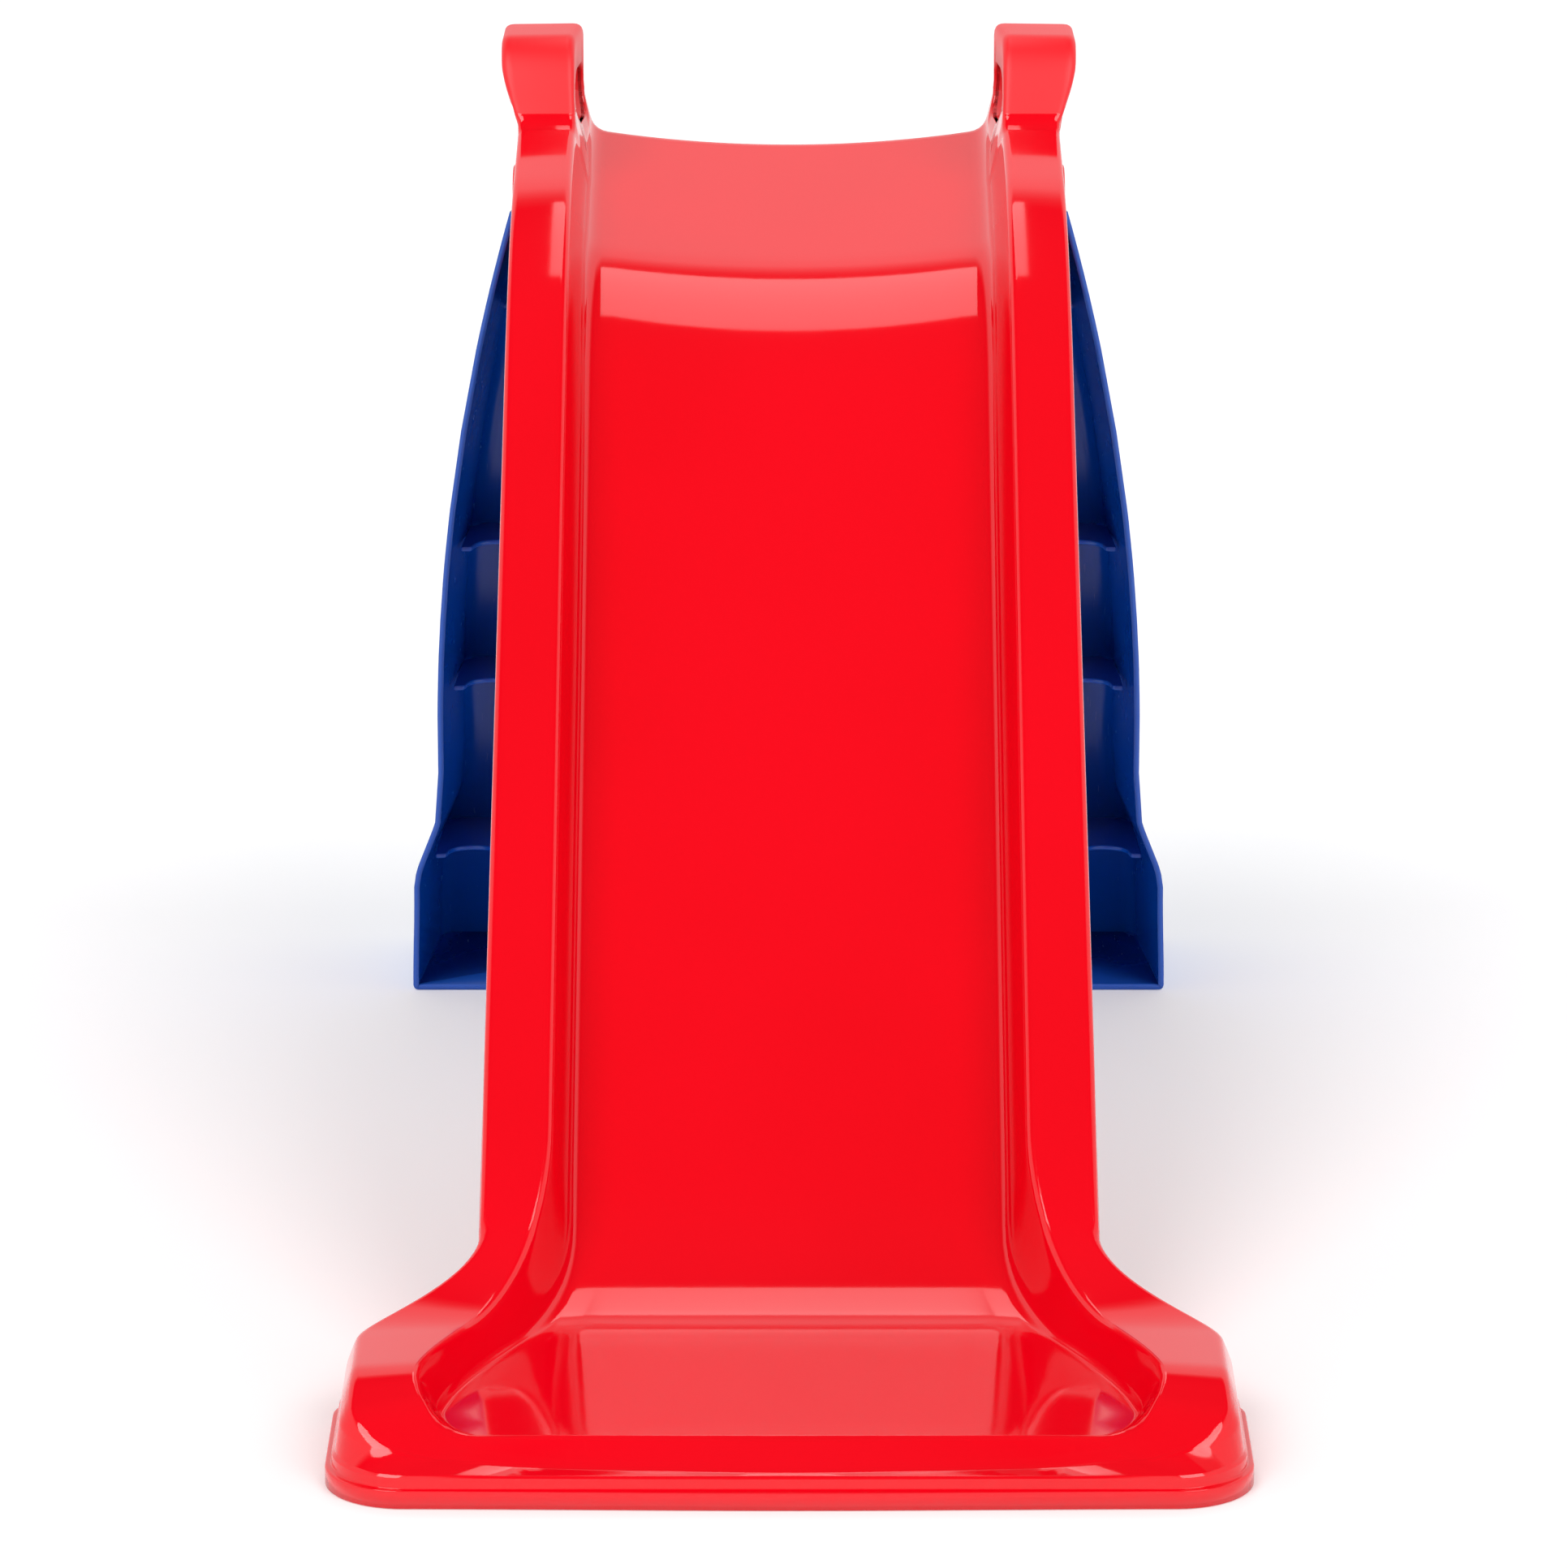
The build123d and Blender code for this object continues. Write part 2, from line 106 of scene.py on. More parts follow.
def bend(y, corner, reach, turn):
    """Height gained past a rounded corner at which the slope changes by turn."""
    t = np.clip(y - corner + reach, 0.0, 2.0 * reach)
    return turn * (t * t / (4.0 * reach) + np.maximum(y - corner - reach, 0.0))


def floor_z(x, y):
    """The surface that is slid on."""
    z = LIP_Z + RUN_SLOPE * (y - LIP_Y)
    z = z + bend(y, RUN_Y, 50.0, CHUTE_SLOPE - RUN_SLOPE)
    z = z + bend(y, SEAT_Y, 50.0, SEAT_SLOPE - CHUTE_SLOPE)
    return z + DISH * (x / 100.0) ** 2 * ease((y - 480.0) / 210.0)


def crown_z(y):
    """Top of the rails, from the bolsters up to the front of the grips."""
    bend_y = RUN_Y + (BOLSTER_Z - RUN_Z - CHUTE_RISE) / CHUTE_SLOPE
    seat_zero = REAR_Z + SEAT_RISE - REAR_Y * SEAT_SLOPE
    top_y = (seat_zero - BOLSTER_Z + bend_y * CHUTE_SLOPE) / (CHUTE_SLOPE - SEAT_SLOPE)
    z = BOLSTER_Z + bend(y, bend_y, 38.0, CHUTE_SLOPE) - bend(-y, -60.0, 10.0, 0.44)
    return z + bend(y, top_y, 72.0, SEAT_SLOPE - CHUTE_SLOPE)


def grip_z(y):
    """Top line of rail and grip together."""
    rise = (HEIGHT - 0.6 - crown_z(GRIP_Y)) / GRIP_SLOPE
    z = crown_z(np.minimum(y, GRIP_Y)) + bend(y, GRIP_Y, 5.0, GRIP_SLOPE)
    z = z - bend(y, GRIP_Y + rise, 13.0, GRIP_SLOPE)
    return np.where(y > GRIP_Y - 5.0, z, crown_z(y)) - bend(y, REAR_Y, 14.0, 0.9)


def skirt_z(y):
    """Lower edge of the side skirts."""
    z = bend(y, RUN_Y + (SKIRT_DROP - RUN_Z) / CHUTE_SLOPE, 14.0, CHUTE_SLOPE)
    z = z + bend(y, SEAT_Y, 25.0, SEAT_SLOPE - CHUTE_SLOPE)
    z = z + bend(y, 800.0, 12.0, 0.83 - SEAT_SLOPE)
    return z + bend(y, 846.0, 6.0, 0.67)


def rail_outer(y):
    """Outer half width of a rail behind the foot."""
    return RAIL_OUT_REAR + (RAIL_OUT_HALF - RAIL_OUT_REAR) * min((REAR_Y - y) / RAIL_TAPER, 1.0)


def swing(y, wide, narrow, front, back):
    """Half width that swings from wide at front to narrow at back."""
    return wide + (narrow - wide) * ease((y - front) / (back - front))


def path_stations():
    """Inner and outer plan points of the rail sections, from the rear to the middle front.

    Returns two arrays of (x, y), the share of flare 0..1 and the share of front lip 0..1.
    """
    inner, outer, flare, lip = [], [], [], []

    def add(i, o, f, p):
        inner.append(i)
        outer.append(o)
        flare.append(f)
        lip.append(p)

    rows = np.concatenate([
        np.arange(REAR_Y, 768.0, -3.0), np.arange(766.0, 640.0, -7.0), np.arange(636.0, 262.0, -11.0)
    ])
    for y in rows:
        add((RAIL_IN_HALF, y), (rail_outer(y), y), 0.0, 0.0)

    def foot_inner(y):
        return swing(y, PAN_HALF, RAIL_IN_HALF, PAN_END, PAN_START)

    # the foot: the outer edge flares at once, the inner edge opens slowly
    for y in np.concatenate([np.arange(258.0, 196.0, -8.0), np.arange(192.0, 62.0, -4.0)]):
        share = float(ease((FLARE_START - y) / (FLARE_START - FLARE_END)))
        outer_half = swing(y, FOOT_HALF, RAIL_OUT_HALF, FLARE_END, FLARE_START)
        add((foot_inner(y), y), (outer_half, y), share, 0.0)
    # round the front corner
    for t in np.linspace(0.0, 1.0, 26):
        a = t * pi / 2
        i = (CORNER_IN_HALF + (foot_inner(CORNER_Y) - CORNER_IN_HALF) * cos(a),
             CORNER_Y - (CORNER_Y - LIP_Y) * sin(a))
        if t < CORNER_TURN:
            o = (FOOT_HALF, CORNER_Y - 68.0 * t)
        else:
            a = (t - CORNER_TURN) / (1.0 - CORNER_TURN) * pi / 2
            o = (CORNER_OUT_HALF + (FOOT_HALF - CORNER_OUT_HALF) * cos(a),
                 OUTER_ARC_Y - (OUTER_ARC_Y - FRONT_Y) * sin(a))
        add(i, o, 1.0, 0.7 * float(ease((t - 0.3) / 0.7)))
    # the front edge, from the corner to the middle
    for t in np.linspace(0.0, 1.0, 26)[1:]:
        add((CORNER_IN_HALF * (1 - t), LIP_Y), (CORNER_OUT_HALF * (1 - t), FRONT_Y), 1.0,
            0.7 + 0.3 * float(ease(t / 0.3)))
    return np.array(inner), np.array(outer), np.array(flare), np.array(lip)


def rounded(points, radii, steps=5):
    """Open polyline with rounded corners; every corner gives steps + 1 points."""
    p = np.asarray(points, float)
    out = [p[0]]
    for k in range(1, len(p) - 1):
        back, ahead = p[k - 1] - p[k], p[k + 1] - p[k]
        lb, la = max(np.linalg.norm(back), 1e-6), max(np.linalg.norm(ahead), 1e-6)
        back, ahead = back / lb, ahead / la
        turn = np.arccos(np.clip(-np.dot(back, ahead), -1.0, 1.0))
        reach = min(radii[k] * np.tan(turn / 2.0), 0.47 * lb, 0.47 * la)
        a, b = p[k] + back * reach, p[k] + ahead * reach
        for s in np.linspace(0.0, 1.0, steps + 1):
            out.append(a * (1 - s) ** 2 + 2 * p[k] * s * (1 - s) + b * s * s)
    out.append(p[-1])
    return np.array(out)


def across_path(inner):
    """Unit plan vectors across the inner path, evened out where the foot meets its corner."""
    along = np.gradient(inner, axis=0)
    along /= np.linalg.norm(along, axis=1)[:, None]
    aside = np.stack([-along[:, 1], along[:, 0]], axis=1)
    corner = int(np.argmax(inner[:, 1] <= CORNER_Y))
    low, high = corner - 7, corner + 9
    for _ in range(3):
        aside[1:-1] = (aside[:-2] + aside[1:-1] * 2.0 + aside[2:]) / 4.0
        aside[low:high] = (aside[low - 3:high - 3] + aside[low:high] + aside[low + 3:high + 3]) / 3.0
    return aside / np.linalg.norm(aside, axis=1)[:, None]


def rail_section(i, o, flare, lip, aside):
    """Section through a rail, bolster or front lip, from the bed beside i to the skirt's edge at o."""
    span = float(np.linalg.norm(o - i))
    way = (o - i) / span

    def plan(u):
        return i + (way if u >= 0.0 else aside) * u

    bottom = float(skirt_z(o[1]))
    foot = flare if o[1] <= 150.0 else 0.0
    base = float(floor_z(i[0], i[1]))
    top = float(grip_z(i[1])) if flare == 0.0 else float(crown_z(o[1]))
    crown_in = 9.0 * (1 - flare) + 10.0 * flare
    crown_out = span - 1.8 * (1 - flare) - 8.0 * flare
    top_in = top
    if flare > 0.0:
        top_in, top = (float(crown_z(plan(u)[1])) for u in (crown_in, crown_out))
    # rail, with the grip standing a little wider than the rail above NOTCH_Z
    low = min(NOTCH_Z - 3.0, base + 0.62 * (top - base))
    high = min(NOTCH_Z + 5.0, base + 0.80 * (top - base))
    crown_in -= 3.5 * float(ease((i[1] - 800.0) / 60.0))

    def wall(z):
        return crown_in * min(max((z - base) / max(min(top, NOTCH_Z) - base, 1.0), 0.0), 1.0)

    def widen(z):
        return 5.0 * float(ease((z - NOTCH_Z + 3.0) / 9.0)) + 6.4 * float(ease((z - NOTCH_Z - 4.0) / 26.0))

    bead = 1.0 - float(ease((i[1] - 752.0) / 26.0))
    side = [
        (-18.0, float(floor_z(*plan(-18.0)))),
        (0.0, base),
        (wall(low), low),
        (wall(high), high),
        (crown_in, top_in),
        (crown_out + widen(top), top - 0.6 - 1.4 * flare),
        (crown_out + widen(high), high),
        (crown_out + 0.6, low),
        (span, bottom + 27.0),
        (span + 2.2 * bead, bottom + 25.0),
        (span + 2.4 * bead, bottom + 18.0),
        (span + 3.0 * bead, bottom + 8.0),
        (span + 3.2 * bead, bottom),
    ]
    if flare > 0.0:
        side[2] = (crown_in * 0.4, base + 0.4 * (top_in - base))
        side[3] = (crown_in * 0.75, base + 0.75 * (top_in - base))
        side[6] = (crown_out + (span - crown_out) * 0.35, top - (top - 27.0) * 0.35)
        side[7] = (crown_out + (span - crown_out) * 0.7, top - (top - 27.0) * 0.65)
        side[8] = (span, 27.0 * (1 - flare) + 17.0 * flare)
        side[9] = (span + 2.2 * (1 - flare) + 1.6 * flare, 25.0 * (1 - flare) + 15.0 * flare)
        side[10] = (span + 2.4 * (1 - flare) + 1.6 * flare, 18.0 * (1 - flare) + 9.4 * flare)
    if foot > 0.0:
        side[11] = (span + 5.0, 9.0)
        side[12] = (span + 5.0, 0.0)
    front = [
        (-18.0, side[0][1]),
        (0.0, base),
        (3.0, base - 1.6),
        (8.0, base - 5.4),
        (13.0, base - 9.0),
        (17.0, 17.4),
        (19.0, 16.4),
        (20.0, 16.2),
        (span - 0.6, 15.8),
        (span + 1.2, 14.6),
        (span + 1.2, 9.4),
        (span + 5.0, 9.0),
        (span + 5.0, 0.0),
    ]
    mix = [(a[0] * (1 - lip) + b[0] * lip, a[1] * (1 - lip) + b[1] * lip) for a, b in zip(side, front)]
    soft = 1.0 - lip
    roll = 11.0 - 5.5 * float(ease((i[1] - 715.0) / 60.0)) + 5.0 * flare
    radii = [0, 22 * soft * (1 - flare * 0.3) + 2.5 * lip, 8, 4 + 5 * flare, roll, roll,
             4 + 6 * flare, 8 + 6 * flare, 1.5, 0.9, 1.4, 1.2, 0]
    line = rounded(mix, radii)
    pts = np.empty((len(line), 3))
    pts[:, :2] = [plan(u) for u in line[:, 0]]
    pts[:, 2] = line[:, 1]
    return pts


def inward(points):
    """Unit normals of a section line, pointing into the material."""
    d = np.gradient(points[:, [0, 2]], axis=0)
    n = np.stack([d[:, 1], -d[:, 0]], axis=1)
    n /= np.maximum(np.linalg.norm(n, axis=1), 1e-9)[:, None]
    return np.stack([n[:, 0], np.zeros(len(n)), n[:, 1]], axis=1)


def grid_faces(first, rows, cols, flip=False):
    """Quads of a row-major grid of vertices."""
    faces = []
    for r in range(rows - 1):
        for c in range(cols - 1):
            a = first + r * cols + c
            quad = (a, a + 1, a + cols + 1, a + cols)
            faces.append(quad[::-1] if flip else quad)
    return faces


def mesh_object(name, verts, faces, smooth=True):
    """New object from drawing-space vertices; doubles are merged."""
    mesh = bpy.data.meshes.new(name)
    mesh.from_pydata([tuple(v) for v in place(verts)], [], faces)
    obj = bpy.data.objects.new(name, mesh)
    bpy.context.scene.collection.objects.link(obj)
    bm = bmesh.new()
    bm.from_mesh(mesh)
    bmesh.ops.remove_doubles(bm, verts=bm.verts, dist=2e-5)
    bmesh.ops.dissolve_degenerate(bm, edges=bm.edges, dist=1e-6)
    for face in bm.faces:
        face.smooth = smooth
    bm.to_mesh(mesh)
    bm.free()
    return obj


def mirrored(verts, faces):
    """Add the image at negative x."""
    verts = np.asarray(verts, float)
    twin = verts * np.array([-1.0, 1.0, 1.0])
    n = len(verts)
    both = list(faces) + [tuple(n + k for k in reversed(f)) for f in faces]
    return np.concatenate([verts, twin]), both


def face_out(obj, axis=None):
    """Make the normals agree; where axis is given, its farthest face points along it."""
    bm = bmesh.new()
    bm.from_mesh(obj.data)
    bmesh.ops.recalc_face_normals(bm, faces=bm.faces)
    if axis is not None:
        probe = max(bm.faces, key=lambda f: f.calc_center_median()[axis])
        if probe.normal[axis] < 0:
            bmesh.ops.reverse_faces(bm, faces=bm.faces)
    bm.to_mesh(obj.data)
    bm.free()
    return obj


def build_slide():
    """Skin of the chute: rail and lip sections joined by the bed."""
    inner, outer, flare, lip = path_stations()
    sections = [rail_section(*args) for args in zip(inner, outer, flare, lip, across_path(inner))]
    sections[-1][:, 0] = 0.0
    # rolled rear edge
    rear = sections[0]
    sink = inward(rear)
    rolls = []
    for a in (90.0, 67.0, 45.0, 22.0):
        ring = rear + sink * 4.0 * (1 - cos(radians(a)))
        ring[:, 1] += 4.0 * sin(radians(a))
        rolls.append(ring)
    sections = rolls + sections
    cols = len(rear)
    verts = [p for ring in sections for p in ring]
    faces = grid_faces(0, len(sections), cols)
    # floor between the rails
    side = np.array([ring[0] for ring in sections])
    corner = int(np.argmax(lip > 0.45)) + len(rolls)
    front = side[corner:]
    n = len(front)
    flank = side[: corner + 1]
    across = (front[:, 0] - front[-1, 0]) / (front[0, 0] - front[-1, 0])
    rows = []
    for r, point in enumerate(flank):
        t = r / (len(flank) - 1)
        line = np.empty((n, 3))
        weight = ease((r - (len(flank) - 34)) / 33.0)
        line[:, 0] = across * point[0]
        line[:, 1] = point[1] + (front[:, 1] - front[0, 1]) * weight
        line[:, 2] = floor_z(line[:, 0], line[:, 1])
        if r < len(rolls):
            line[:, 2] = floor_z(line[:, 0], REAR_Y) + point[2] - rear[0, 2]
        line[0] = point
        rows.append(line)
    rows[-1] = front.copy()
    first = len(verts)
    for line in rows:
        verts += list(line)
    faces += grid_faces(first, len(rows), n, flip=True)
    # closed rear end of rail and seat
    last = sections[0]
    keep = [k for k in range(cols) if last[k][2] > 488.0]
    edge = [first + k for k in range(n - 1, 0, -1)]
    under = len(verts)
    end_y = last[0][1]
    verts += [np.array(p) for p in ((last[keep[-1]][0], end_y, 488.0), (118.0, end_y, 488.0),
                                    (106.0, end_y, 496.0), (0.0, end_y, 492.0))]
    faces.append(tuple(edge + keep + [under, under + 1, under + 2, under + 3]))
    verts, faces = mirrored(verts, faces)
    return face_out(mesh_object("slide_shell", verts, faces), 2)


def solid(obj, thickness):
    """Give a skin its wall, on the inside."""
    mod = obj.modifiers.new("wall", "SOLIDIFY")
    mod.thickness = thickness * MM
    mod.offset = -1.0
    mod.use_even_offset = False
    mod.use_quality_normals = True


def outline_hull(points):
    """Convex outline round a set of 2-D points, anticlockwise."""
    pts = sorted({(round(float(a), 4), round(float(b), 4)) for a, b in points})

    def half(run):
        out = []
        for p in run:
            while len(out) > 1 and (
                (out[-1][0] - out[-2][0]) * (p[1] - out[-2][1])
                - (out[-1][1] - out[-2][1]) * (p[0] - out[-2][0])
            ) <= 0:
                out.pop()
            out.append(p)
        return out[:-1]

    return half(pts) + half(pts[::-1])


def circle(a, b, radius, count=28, start=0.0, stop=2 * pi):
    """Points of a circle or arc in a plane."""
    return [(a + radius * cos(t), b + radius * sin(t))
            for t in np.linspace(start, stop, count, endpoint=stop - start < 6.2)]


def prisms(name, parts, edge=0.9):
    """One object of thin plates. Each part is (outline, axis, low, high)."""
    bm = bmesh.new()
    for outline, axis, low, high in parts:
        rings = []
        for level in (low, high):
            if axis == "x":
                pts = [(level, a, b) for a, b in outline]
            else:
                pts = [(a, b, level) for a, b in outline]
            rings.append([bm.verts.new(p) for p in place(pts)])
        bm.faces.new(rings[0])
        bm.faces.new(rings[1][::-1])
        n = len(outline)
        for k in range(n):
            bm.faces.new((rings[0][k], rings[1][k], rings[1][(k + 1) % n], rings[0][(k + 1) % n]))
    bmesh.ops.recalc_face_normals(bm, faces=bm.faces)
    sharp = [e for e in bm.edges if e.is_manifold and e.calc_face_angle() > 0.7]
    bmesh.ops.bevel(bm, geom=sharp, offset=edge * MM, segments=2, profile=0.5, affect="EDGES",
                    clamp_overlap=True)
    for face in bm.faces:
        face.smooth = True
    mesh = bpy.data.meshes.new(name)
    bm.to_mesh(mesh)
    bm.free()
    obj = bpy.data.objects.new(name, mesh)
    bpy.context.scene.collection.objects.link(obj)
    mod = obj.modifiers.new("normals", "WEIGHTED_NORMAL")
    mod.keep_sharp = True
    return obj


def twin_x(parts):
    """Plates that stand across x, and their images at negative x."""
    return parts + [(outline, axis, -high, -low) for outline, axis, low, high in parts]


# ---- ladder ----
RIM_FOOT_Y, RIM_TOP_Y = 875.0, 800.0
LADDER_TOP_Z = 484.0
BACK_TOP_Y = 866.0
STEP_LEVELS = (81.0, 188.0, 275.0, 417.0)
STEP_DEPTH = 34.0
STEP_NOSE = 8.0
STILE = 36.0
DRAFT = 9.0                # the side walls close in by this much towards the back
RIB_RECESS = 24.0
STEP_HALF = 205.4          # outer half width of the ladder at its lower steps
BOW, BOW_Z = 47.0, 152.0   # how far the sides lean in, and the height where that starts
FOOT_FLARE = 15.6
ROLL = 12.0                # radius between the side walls and the back
HINGE_Y, HINGE_Z = 800.0, 492.0
BRACE_Y, BRACE_Z = 838.0, 320.0


def rim_y(z):
    """Front edge of the ladder's side walls."""
    return RIM_FOOT_Y - (RIM_FOOT_Y - RIM_TOP_Y) * z / LADDER_TOP_Z


def back_y(z):
    """Back of the ladder."""
    return LENGTH - (LENGTH - BACK_TOP_Y) * z / LADDER_TOP_Z


def ladder_half(z):
    """Outer half width of the ladder."""
    bow = STEP_HALF - BOW * (max(z - BOW_Z, 0.0) / (LADDER_TOP_Z - BOW_Z)) ** 2
    return bow + FOOT_FLARE * float(ease((122.0 - z) / 58.0)) + 1.6 * float(ease((64.0 - z) / 64.0))


def ladder_rows():
    """Rows up the ladder: (stile height, step y, step z, half width of the step)."""
    rows = []
    levels = list(STEP_LEVELS) + [LADDER_TOP_Z - 10.0]
    widths = [ladder_half(high) - STILE for high in levels[1:]]
    for z in (0.0, 0.3, 1.2, 3.0, 10.0, 20.0, 32.0, 44.0, 56.0, 66.0, 74.0):
        rows.append((z, back_y(z), z, widths[0]))
    for k, width in enumerate(widths):
        low, high = levels[k], levels[k + 1]
        line = rounded(
            [(back_y(low - 5.0), low - 5.0), (back_y(low), low), (back_y(low) - STEP_DEPTH, low),
             ((back_y(low) - STEP_DEPTH + back_y(high) - STEP_NOSE) / 2, (low + high - STEP_NOSE) / 2),
             (back_y(high) - STEP_NOSE, high - STEP_NOSE), (back_y(high), high - STEP_NOSE),
             (back_y(high - 5.5), high - 5.5)],
            [0, 4.0, 7.0, 1.0, 5.0, 2.0, 0], 4)
        span = np.concatenate([[0.0], np.cumsum(np.linalg.norm(np.diff(line, axis=0), axis=1))])
        for (y, z), s in zip(line, span / span[-1]):
            rows.append((low - 5.0 + (high - low - 0.5) * s, y, z, width))
    for z in (LADDER_TOP_Z - 12.0, LADDER_TOP_Z - 8.0, LADDER_TOP_Z - 3.0, LADDER_TOP_Z):
        rows.append((z, back_y(z), z, widths[-1]))
    return rows


def build_ladder():
    """Skin of the ladder: steps between stiles, rolled into the side walls."""
    verts = []
    rows = ladder_rows()
    # from the step to the stile: distance past the step's edge, and share of the stile's place
    stile_rise = ((-4.0, 0.0), (-1.2, 0.03), (0.0, 0.12), (0.3, 0.5), (0.6, 0.88), (1.8, 0.97), (4.6, 1.0))
    for z, step_y, step_z, width in rows:
        half = ladder_half(z)
        back, rim = back_y(z), rim_y(z)
        line = [(width * t, step_y, step_z) for t in (0.0, 0.25, 0.5, 0.75, 0.92)]
        for dx, w in stile_rise:
            line.append((width + dx, step_y + (back - step_y) * w, step_z + (z - step_z) * w))
        turn = half - DRAFT - ROLL
        line.append(((width + 4.6 + turn) / 2, back, z))
        for a in np.linspace(0.0, pi / 2, 7):
            line.append((turn + ROLL * sin(a), back - ROLL * (1 - cos(a)), z))
        for t in np.linspace(0.12, 0.985, 9):
            line.append((half - DRAFT * (1 - t), back - ROLL + (rim - back + ROLL) * t, z))
        line.append((half, rim, z))
        line = np.array(line)
        if z < 3.0:
            inset = {0.0: 2.6, 0.3: 1.5, 1.2: 0.5}[z]
            line[:, 1] -= inset * (line[:, 1] - rim) / (back - rim)
            line[:, 0] -= inset * ease(line[:, 0] / 120.0)
        verts += list(line)
    cols = len(line)
    faces = grid_faces(0, len(rows), cols)
    # closed bottom
    verts.append(np.array((0.0, verts[cols - 1][1], 0.0)))
    faces.append(tuple(list(range(cols)) + [len(verts) - 1]))
    verts, faces = mirrored(verts, faces)
    return face_out(mesh_object("ladder_shell", verts, faces), 1)


def rib_outline(level, scallops):
    """Outline of a rib shelf, with scalloped front corners or with room for the hinge ears."""
    front = rim_y(level) + RIB_RECESS
    back = back_y(level) - 3.0
    half = ladder_half(level)
    side_front = half - DRAFT * (back - front) / (back_y(level) - rim_y(level)) - 2.0
    side_back = half - DRAFT - 2.5
    right = [(0.0, front)]
    if scallops:
        # two shallow arches with a small tongue against the side wall
        wall = side_front - 7.0
        arch = 15.5
        right += [(wall - 4.0 * arch - 6.0, front)]
        for centre in (wall - 3.0 * arch - 3.0, wall - arch):
            right += [(centre - arch * cos(t), front + 17.0 * sin(t) ** 0.8)
                      for t in np.linspace(0.1, pi - 0.1, 13)]
        right += [(wall + 1.0, front - 0.6), (side_front, front - 1.2)]
    else:
        right += [(144.5, front), (144.5, front + 32.0), (side_front + 1.0, front + 32.0)]
    right += [(side_back, back - 9.0), (side_back - 8.0, back)]
    left = [(-a, b) for a, b in right[1:]][::-1]
    return right + left


ladder_shell = build_ladder()
solid(ladder_shell, SKIN)
ribs = [(rib_outline(level, level < 400.0), "z", level - 3.1, level - 0.15) for level in STEP_LEVELS]
deck = [(-147.0, 838.0), (147.0, 838.0), (147.0, 864.5), (-147.0, 864.5)]
ribs.append((deck, "z", LADDER_TOP_Z - 3.5, LADDER_TOP_Z))
ladder_ribs = prisms("ladder_ribs", ribs)
ear = outline_hull([(808.0, 416.0), (864.0, 416.0), (864.0, 484.0), (830.0, 484.0)]
                   + circle(HINGE_Y, HINGE_Z, 17.0))
brace_lug = outline_hull([(857.0, 274.0), (883.0, 274.0), (883.0, 288.0)]
                         + circle(BRACE_Y, BRACE_Z, 10.0))
ladder_lugs = prisms("ladder_lugs", twin_x([(ear, "x", 141.0, 147.0), (brace_lug, "x", 98.0, 103.0)]), 1.2)
for obj in (ladder_shell, ladder_ribs, ladder_lugs):
    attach(obj, "ladder")
    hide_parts("ladder")

# ---- grips and latch ----
SLOT_Y, SLOT_Z, SLOT_HALF, SLOT_R = 829.0, 547.0, 10.0, 16.0
CORE_BOTTOM = 524.0


def bake(obj):
    """Turn the modified shape into the object's own mesh."""
    graph = bpy.context.evaluated_depsgraph_get()
    mesh = bpy.data.meshes.new_from_object(obj.evaluated_get(graph))
    obj.modifiers.clear()
    obj.data = mesh
    return obj


def cut_slots(obj):
    """Cut the hand slots through both grips."""
    ring = circle(SLOT_Y + SLOT_HALF, SLOT_Z, SLOT_R, 17, -pi / 2, pi / 2)
    ring += circle(SLOT_Y - SLOT_HALF, SLOT_Z, SLOT_R, 17, pi / 2, 1.5 * pi)
    for low, high in ((100.0, 180.0), (-180.0, -100.0)):
        cutter = prisms("cutter", [(ring, "x", low, high)], 0.01)
        mod = obj.modifiers.new("slot", "BOOLEAN")
        mod.operation, mod.solver, mod.object = "DIFFERENCE", "EXACT", cutter
        bake(obj)
        bpy.data.objects.remove(cutter)
    return obj


def build_grip_core():
    """Solid inside of the grips, just under their skin, which lines the hand slots."""
    verts, faces = [], []
    rows = np.arange(786.0, 861.0, 3.0)
    for y in rows:
        i, o = np.array((RAIL_IN_HALF, y)), np.array((rail_outer(y), y))
        ring = rail_section(i, o, 0.0, 0.0, np.array((1.0, 0.0)))
        ring = ring + inward(ring) * 1.3
        ring = ring[6:-24]
        for k, nearer in ((0, 1), (-1, -2)):
            if ring[k][2] < CORE_BOTTOM:
                share = (CORE_BOTTOM - ring[k][2]) / (ring[nearer][2] - ring[k][2])
                ring[k] += (ring[nearer] - ring[k]) * share
        verts += list(ring)
    cols = len(ring)
    for r in range(len(rows) - 1):
        for c in range(cols):
            a, b = r * cols + c, r * cols + (c + 1) % cols
            faces.append((a, b, b + cols, a + cols))
    faces.append(tuple(range(cols))[::-1])
    faces.append(tuple(range((len(rows) - 1) * cols, len(rows) * cols)))
    verts, faces = mirrored(verts, faces)
    return face_out(mesh_object("grip_core", verts, faces))


def latch_lugs():
    """Hooked lugs under the chute that the brace's cross bar rests in."""
    tip_y, tip_z, fit = 555.0, 300.0, 7.6
    under = RUN_Z - 2.0 - RUN_Y * CHUTE_SLOPE
    seat = circle(tip_y, tip_z, fit, 9, radians(125.0), radians(-35.0))
    outline = [(tip_y - 14.0, under + (tip_y - 14.0) * CHUTE_SLOPE), (tip_y - 10.0, tip_z + 12.0)]
    outline += seat
    outline += [(tip_y + 16.0, tip_z - 3.0), (tip_y + 44.0, under + (tip_y + 44.0) * CHUTE_SLOPE)]
    return prisms("latch_lugs", twin_x([(outline, "x", 58.0, 63.0)]), 0.8)


